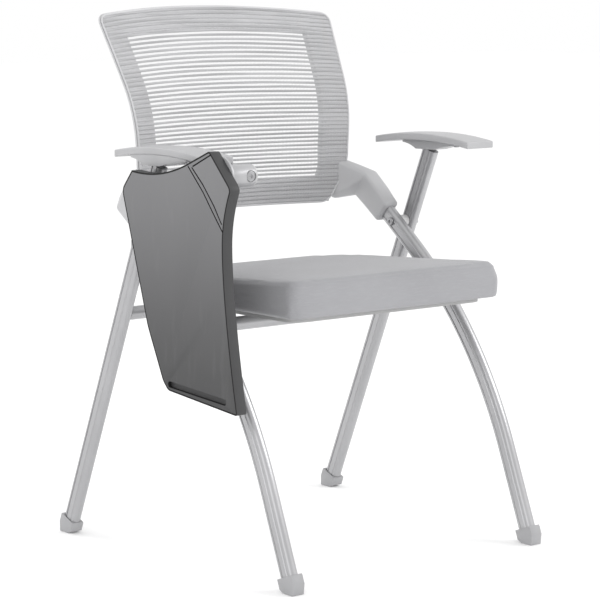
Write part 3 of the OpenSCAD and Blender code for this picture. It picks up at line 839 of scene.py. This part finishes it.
class CHAIR_OT_back_mesh(bpy.types.Operator):
    """Adds the mesh: its clear net, its cross ribs and the trim that holds its edge"""

    bl_idname = "chair.back_mesh"
    bl_label = "Back Mesh"

    def execute(self, context):
        b = context.scene.chair_back
        outline = back_outline()
        net = self.net(outline)
        ribs = self.ribs(b)
        dress(net, finish("net"), "back_mesh", "front_frame", "back_mesh")
        dress(ribs, finish("ribs"), "back_mesh", "front_frame")
        flat_area = sum((outline[i - 1].x * p.y - p.x * outline[i - 1].y) / 2 for i, p in enumerate(outline))
        wide = (back_point(b.half, b.top, 0) - back_point(-b.half, b.top, 0)).length + 0.02
        for name, depth, radius, grow in (("Edge_Trim_Front", 0.2, 1.7, 0.6),
                                          ("Edge_Trim_Rear", 6.2, 2.0, 0.4)):
            trim = bead(name, grown(outline, grow * MM), depth * MM, radius * MM)
            dress(trim, finish("trim"), "back_plastic", "front_frame",
                  *(["mesh_edge_trim"] if name.endswith("Front") else []))
        return {"FINISHED"}

    def net(self, outline):
        """One thin sheet over the whole outline."""
        shares = [1 - k / 14 for k in range(14)] + [0.02]
        rings = [[back_point(*(BACK_MIDDLE + (p - BACK_MIDDLE) * share), -0.4 * MM) for p in outline]
                 for share in shares]
        return soften(loft("Mesh_Net", rings, caps=False), 0, angle=60)

    def ribs(self, b):
        """Every cross rib as a flat, slightly rounded band with its own small waver."""
        bm = bmesh.new()
        pitch, half_height, thick, steps, round_off = b.rib_pitch, b.rib_height / 2, 0.7 * MM, 64, 14 * MM
        count = int((b.top - b.bottom - 2 * MM) / pitch)
        low_half = b.half * BACK_FOOT
        for i in range(count + 1):
            z = b.bottom + 2.2 * MM + i * pitch
            share = min(1, max(0, (z - b.bottom) / (b.side_start - b.bottom)))
            reach = low_half + (b.half - low_half) * share - 0.6 * MM
            corner = b.top - z
            if corner < round_off:
                reach -= round_off - math.sqrt(max(0, round_off ** 2 - (round_off - corner) ** 2))
            before = None
            for k in range(steps + 1):
                x = -reach + 2 * reach * k / steps
                waver = 0.09 * MM * math.sin(x * 31 + i * 1.7) + 0.06 * MM * math.sin(x * 67 + i * 2.9)
                fat = 1 + 0.05 * math.sin(x * 43 + i * 4.1)
                middle_z, half = z + waver, half_height * fat
                ring = [bm.verts.new(back_point(x, middle_z + dz * half, -0.5 * MM - dy * thick))
                        for dz, dy in ((-1, 0), (-0.8, 0.8), (0, 1.15), (0.8, 0.8), (1, 0))]
                if before:
                    for a in range(4):
                        bm.faces.new((before[a], ring[a], ring[a + 1], before[a + 1]))
                    bm.faces.new((before[4], ring[4], ring[0], before[0]))
                else:
                    bm.faces.new(ring)
                before = ring
            bm.faces.new(list(reversed(before)))
        bmesh.ops.recalc_face_normals(bm, faces=bm.faces)
        return soften(from_bmesh("Mesh_Ribs", bm), 0, angle=60)


# ---- Arms ----


class CHAIR_OT_arms(bpy.types.Operator):
    """Adds the two arched arm pads and their supports"""

    bl_idname = "chair.arms"
    bl_label = "Arms"

    def execute(self, context):
        sizes = context.scene.chair_arm
        for word in ("left", "right"):
            low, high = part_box("arm_pad_" + word)
            centre = (low + high) / 2
            length, width = high.y - low.y, high.x - low.x
            deselect()
            bpy.ops.mesh.primitive_grid_add(x_subdivisions=12, y_subdivisions=32, size=1,
                                            location=(centre.x, centre.y, low.z))
            pad = named("Arm_Pad_" + word.title())
            pad.scale = (width, length, 1)
            settle(pad)
            edit_all()
            extrude((0, 0, sizes.thick))
            leave()
            outward(pad)
            for vertex in pad.data.vertices:
                u = (vertex.co.y - centre.y) / (length / 2)
                v = (vertex.co.x - centre.x) / (width / 2)
                top = vertex.co.z > low.z + sizes.thick * 0.6
                vertex.co.z += sizes.arch * (1 - u * u) - (1.3 * MM * v * v if top else 0)
            soften(pad, 2.0 * MM, 4, 40)
            dress(pad, finish("arm"), "arm_plastic", "rear_frame", "arm_pad_" + word)
            refine("arm_support_" + word, finish("arm"), "arm_plastic", 1.5 * MM)
        return {"FINISHED"}


# ---- Seat ----


class CHAIR_OT_seat(bpy.types.Operator):
    """Adds the padded seat and its moulded pan"""

    bl_idname = "chair.seat"
    bl_label = "Seat"

    def execute(self, context):
        s = context.scene.chair_seat
        low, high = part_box("seat_cushion")
        cushion = modify(copy_of("seat_cushion"), "REMESH", mode="VOXEL", voxel_size=s.voxel)
        centre = Vector(((low.x + high.x) / 2, (low.y + high.y) / 2, low.z))
        shrink = Vector((1 - 2 * s.puff / (high.x - low.x), 1 - 2 * s.puff / (high.y - low.y), 1))
        top = high.z - low.z
        for v in cushion.data.vertices:
            r = v.co - centre
            squeeze = 1 - s.puff * 0.9 / top * max(0, r.z / top)
            v.co = centre + Vector((r.x * shrink.x, r.y * shrink.y, r.z * squeeze))
        start = [v.co.copy() for v in cushion.data.vertices]
        self.simulate(cushion, start, low.z, s.puff)
        modify(cushion, "SMOOTH", factor=0.5, iterations=4)
        modify(cushion, "SUBSURF", levels=1, render_levels=1)
        self.sew(cushion, low, high)
        only(cushion)
        bpy.ops.object.shade_smooth()
        dress(cushion, finish("cloth"), "seat_fabric", "seat", "seat_cushion")
        refine("seat_pan", finish("pan"), "pan_plastic", 2.5 * MM)
        return {"FINISHED"}

    def simulate(self, cushion, start, floor, cap):
        """Swells the cushion by cloth pressure, holding its underside, and caps how far it moves."""
        group = cushion.vertex_groups.new(name="held")
        group.add([i for i, p in enumerate(start) if p.z < floor + 3 * MM], 1.0, "REPLACE")
        cloth = cushion.modifiers.new("Cloth", "CLOTH")
        cloth.settings.quality = 5
        cloth.settings.tension_stiffness = 15
        cloth.settings.compression_stiffness = 15
        cloth.settings.bending_stiffness = 0.5
        cloth.settings.use_pressure = True
        cloth.settings.uniform_pressure_force = 4
        cloth.settings.effector_weights.gravity = 0
        cloth.settings.vertex_group_mass = "held"
        cloth.point_cache.frame_start, cloth.point_cache.frame_end = 1, 20
        for number in range(1, 21):
            bpy.context.scene.frame_set(number)
        swollen = cushion.evaluated_get(bpy.context.evaluated_depsgraph_get()).data
        moved = [v.co.copy() for v in swollen.vertices]
        cushion.modifiers.remove(cloth)
        cushion.vertex_groups.clear()
        bpy.context.scene.frame_set(1)
        for vertex, here, there in zip(cushion.data.vertices, start, moved):
            step = there - here
            if step.length > cap:
                step *= cap / step.length
            vertex.co = here + step

    def sew(self, cushion, low, high):
        """Flattens the top panel and pulls a seam in along its edge, where the boxing meets it."""
        normals = [v.normal.copy() for v in cushion.data.vertices]
        for vertex, normal in zip(cushion.data.vertices, normals):
            share = min(1, max(0, (vertex.co.y - low.y) / (high.y - low.y)))
            panel = SEAT_TOP - SEAT_FALL * share
            above = vertex.co.z - panel
            if above > -12 * MM:
                kept = 0.3 if above > 0 else 0.3 + 0.7 * (above / (12 * MM)) ** 2
                vertex.co.z = panel + above * kept
            near = abs(vertex.co.z - panel + 4 * MM)
            if normal.z < 0.93 and near < 5 * MM and normal.z > -0.5:
                vertex.co -= normal * 1.8 * MM * (1 - (near / (5 * MM)) ** 2) ** 2


# ---- Tablet ----


def arc_points(p, q, sag, steps=22):
    """Points of a shallow arc from p to q that stands off the chord by sag."""
    p, q = Vector(p), Vector(q)
    side = Vector((-(q - p).y, (q - p).x)).normalized()
    return [p.lerp(q, t) + side * sag * 4 * t * (1 - t) for t in (k / steps for k in range(steps + 1))]


def round_corner(a, b, c, radius):
    """Points of a rounded corner at b, between a and c."""
    return curve(b + (a - b).normalized() * radius, b, b + (c - b).normalized() * radius, 7)


def board_outline(sizes):
    """The board's outline as (y, z), shaped round the swivel axis."""
    front = SWIVEL.y - 43 * MM
    rear, low, top = front + sizes.width, SWIVEL.z - sizes.length, SWIVEL.z

    def at(y, dy, z, dz):
        return Vector((y + dy * MM, z + dz * MM))
    nose, crown = at(front, -4, top, -12.5), at(front, 46, top + sizes.neck, 0)
    elbow, shoulder = at(front, 101, top + sizes.neck, -22), at(rear, -27, top, -1)
    heel, flank, toe = at(rear, 0, top, -32), at(rear, -66, low, 102), at(rear, -105, low, 22)
    tip, point, waist = at(rear, -118, low, 9), at(front, -19, low, -7), at(front, 14, top, -101)
    return (round_corner(point, nose, crown, 6 * MM) + round_corner(nose, crown, elbow, 4 * MM)
            + arc_points(elbow, shoulder, -9 * MM) + round_corner(shoulder, heel, flank, 10 * MM)
            + curve(at(flank.x, 3, flank.y, 9), flank, at(flank.x, -3, flank.y, -6), 6)
            + round_corner(flank, toe, tip, 5 * MM) + round_corner(toe, tip, point, 5 * MM)
            + round_corner(tip, point, nose, 5 * MM)
            + curve(at(point.x, 4, point.y, 24), at(waist.x, 0, waist.y, -77), waist, 18)
            + curve(waist, at(waist.x, 0, waist.y, 41), at(nose.x, 0, nose.y, -7)))


class CHAIR_OT_tablet(bpy.types.Operator):
    """Adds the writing tablet with its pen groove and corner lines"""

    bl_idname = "chair.tablet"
    bl_label = "Tablet"

    def execute(self, context):
        sizes = context.scene.chair_tablet
        low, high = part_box("tablet_board")
        outline = board_outline(sizes)
        board = plate("Tablet_Board", outline, low.x, high.x)
        edit_all()
        bpy.ops.mesh.select_mode(type="FACE")
        bpy.ops.mesh.select_all(action="DESELECT")
        leave()
        for polygon in board.data.polygons:
            polygon.select = polygon.normal.x < -0.9
        bpy.ops.object.mode_set(mode="EDIT")
        bpy.ops.mesh.inset(thickness=BOARD_INSET, depth=0)
        leave()
        self.carve(board, self.pen_cutter(sizes, low.x))
        for cutter in self.line_cutters(low.x):
            self.carve(board, cutter)
        soften(board, 0.8 * MM, 2, 50)
        dress(board, finish("board"), "board_plastic", "tablet", "tablet_board")
        board.data.materials.append(finish("board_edge"))
        board.data.materials.append(finish("board_line"))
        for polygon in board.data.polygons:
            deep = polygon.center.x - low.x
            on_face = deep < 0.3 * MM
            flat = polygon.normal.x < -0.98 and (on_face or deep >= 3 * MM)
            on_rim = deep > 7 * MM
            if flat and on_face:
                flat = self.from_edge(outline, polygon.center) > BOARD_RIM
            polygon.material_index = 0 if flat else 1 if on_rim else 2
        return {"FINISHED"}

    def from_edge(self, outline, centre):
        """The distance of a point of the face from the board's outline."""
        point = Vector((centre.y, centre.z))
        near = 1.0
        for a, b in zip(outline, outline[1:] + outline[:1]):
            spot, share = intersect_point_line(point, a, b)
            spot = a if share < 0 else b if share > 1 else Vector(spot[:2])
            near = min(near, (point - spot).length)
        return near

    def carve(self, board, cutter):
        """Cuts one piece out of the board and removes the cutter."""
        modify(board, "BOOLEAN", operation="DIFFERENCE", object=cutter, solver="EXACT")
        bpy.data.objects.remove(cutter)

    def pen_cutter(self, sizes, face):
        y, z = SWIVEL.y, SWIVEL.z
        start = Vector((y - 31 * MM, z - sizes.length + 10 * MM))
        end = Vector((y + 106 * MM, z - sizes.length + 19 * MM))
        along = (end - start).normalized()
        side = Vector((-along.y, along.x))
        half = sizes.pen_width / 2
        turns = [math.pi * k / 10 for k in range(11)]
        rim = [end + (along * math.sin(a) + side * math.cos(a)) * half for a in turns]
        rim += [start - (along * math.sin(a) + side * math.cos(a)) * half for a in turns]
        return plate("Pen_Cutter", rim, face - 5 * MM, face + sizes.pen_depth)

    def line_cutters(self, face):
        """The two fine lines that mark off the front top corner."""
        cutters = []
        for n, route in enumerate(CORNER_LINES):
            spots = [Vector((SWIVEL.y + y * MM, SWIVEL.z + z * MM)) for y, z in route]
            for k, (a, b) in enumerate(zip(spots, spots[1:])):
                side = Vector((-(b - a).y, (b - a).x)).normalized() * 1.15 * MM
                far = (b - a).normalized() * 0.4 * MM
                strip = [a - far + side, b + far + side, b + far - side, a - far - side]
                cutters.append(plate(f"Line_Cutter_{n}{k}", strip, face - 3 * MM, face + 1.4 * MM))
        return cutters


class CHAIR_OT_hardware(bpy.types.Operator):
    """Gives every other part of the frame rounded edges and its finish"""

    bl_idname = "chair.hardware"
    bl_label = "Hardware"

    def execute(self, context):
        jobs = [
            ("paint", "tube_metal", 0.5, ["front_cross_tube", "rear_cross_tube", "tablet_bracket"]),
            ("barrel", "barrel_metal", 0.7, ["swivel_barrel", "tablet_flange"]),
            ("foot", "foot_plastic", 1.6, ["front_foot_left", "front_foot_right", "rear_foot_left",
                                           "rear_foot_right"]),
            ("steel", "hardware", 0.35, ["back_screws", "pivot_bolts", "pivot_nuts", "arm_screws",
                                         "bracket_screws", "tilt_pin", "seat_screws", "tablet_screws",
                                         "swivel_spindle", "spindle_ring"]),
            ("nylon", "nylon", 0.4, ["pivot_spacers", "pivot_bushes", "barrel_cap"]),
            ("pan", "pan_plastic", 1.0, ["seat_hinge_left", "seat_hinge_right"]),
            ("rubber", "rubber", 0.8, ["seat_rests"]),
        ]
        for material, slot, bevel, nodes in jobs:
            for node in nodes:
                refine(node, finish(material), slot, bevel * MM)
        return {"FINISHED"}


# ---- Stage ----


class CHAIR_OT_stage(bpy.types.Operator):
    """Adds the pale floor, the soft studio light and the camera"""

    bl_idname = "chair.stage"
    bl_label = "Stage"

    def execute(self, context):
        stage = context.scene.chair_stage
        self.floor()
        self.lights()
        heading = Vector((math.sin(stage.azimuth), math.cos(stage.azimuth), 0))
        right = Vector((math.cos(stage.azimuth), -math.sin(stage.azimuth), 0))
        place = Vector((CENTRE_X, 0, stage.height)) - heading * stage.back_off - right * stage.aside
        deselect()
        bpy.ops.object.camera_add(location=place,
                                  rotation=(math.pi / 2 - stage.down, 0, -stage.azimuth))
        camera = bpy.context.object
        camera.name = "Camera"
        camera.data.sensor_width = 36
        camera.data.lens = stage.lens
        camera.data.clip_end = 50
        context.scene.camera = camera
        context.scene.view_settings.view_transform = "Standard"
        return {"FINISHED"}

    def floor(self):
        deselect()
        bpy.ops.mesh.primitive_plane_add(size=40, location=(0, 0, -0.0005))
        floor = named("Floor")
        settle(floor)
        f = Finish("pale_floor", roughness=0.9, Specular_IOR_Level=0.1, Emission_Color=(1, 1, 1, 1),
                   Emission_Strength=0.08)
        f.set("Base Color", f.mix(f.noise(3), (0.93, 0.93, 0.93), (0.95, 0.95, 0.95)))
        floor.data.materials.append(f.material)

    def lights(self):
        world = bpy.data.worlds.new("Studio")
        world.use_nodes = True
        background = world.node_tree.nodes["Background"]
        background.inputs["Color"].default_value = (1, 1, 1, 1)
        background.inputs["Strength"].default_value = 1.0
        bpy.context.scene.world = world
        for name, place, size, power in (
                ("Key", (2.6, -2.4, 2.6), 1.6, 42), ("Fill", (-3.2, -2.2, 1.6), 2.2, 16),
                ("Rim", (-1.2, 3.0, 2.6), 1.8, 26)):
            deselect()
            bpy.ops.object.light_add(type="AREA", location=place)
            light = bpy.context.object
            light.name = name
            light.data.size = size
            light.data.energy = power
            sight = Vector((0, 0, 0.5)) - Vector(place)
            light.rotation_euler = sight.to_track_quat("-Z", "Y").to_euler()


# ---- Add-on ----


class CHAIR_PT_panel(bpy.types.Panel):
    """Lists the chair's pieces and sizes"""

    bl_idname = "CHAIR_PT_panel"
    bl_label = "Student Chair"
    bl_space_type = "VIEW_3D"
    bl_region_type = "UI"
    bl_category = "Chair"

    def draw(self, context):
        for group in GROUPS:
            box = self.layout.box()
            settings = getattr(context.scene, group)
            for name in settings.__annotations__:
                box.prop(settings, name)
        for operator in OPERATORS:
            self.layout.operator(operator.bl_idname)


GROUPS = {"chair_frame": ChairFrameSizes, "chair_back": ChairBackSizes, "chair_seat": ChairSeatSizes,
          "chair_arm": ChairArmSizes, "chair_tablet": ChairTabletSizes, "chair_stage": ChairStage}
OPERATORS = (CHAIR_OT_stage, CHAIR_OT_front_tubes, CHAIR_OT_rear_tubes, CHAIR_OT_back_frame,
             CHAIR_OT_back_mesh, CHAIR_OT_arms, CHAIR_OT_seat, CHAIR_OT_tablet, CHAIR_OT_hardware)
CLASSES = (*GROUPS.values(), *OPERATORS, CHAIR_PT_panel)


def register():
    for cls in CLASSES:
        bpy.utils.register_class(cls)
    for name, group in GROUPS.items():
        setattr(bpy.types.Scene, name, PointerProperty(type=group))


def unregister():
    for name in GROUPS:
        delattr(bpy.types.Scene, name)
    for cls in reversed(CLASSES):
        bpy.utils.unregister_class(cls)


def main():
    """Builds the whole chair."""
    register()
    for operator in OPERATORS:
        group, name = operator.bl_idname.split(".")
        getattr(getattr(bpy.ops, group), name)()
    deselect()


if __name__ == "__main__":
    main()
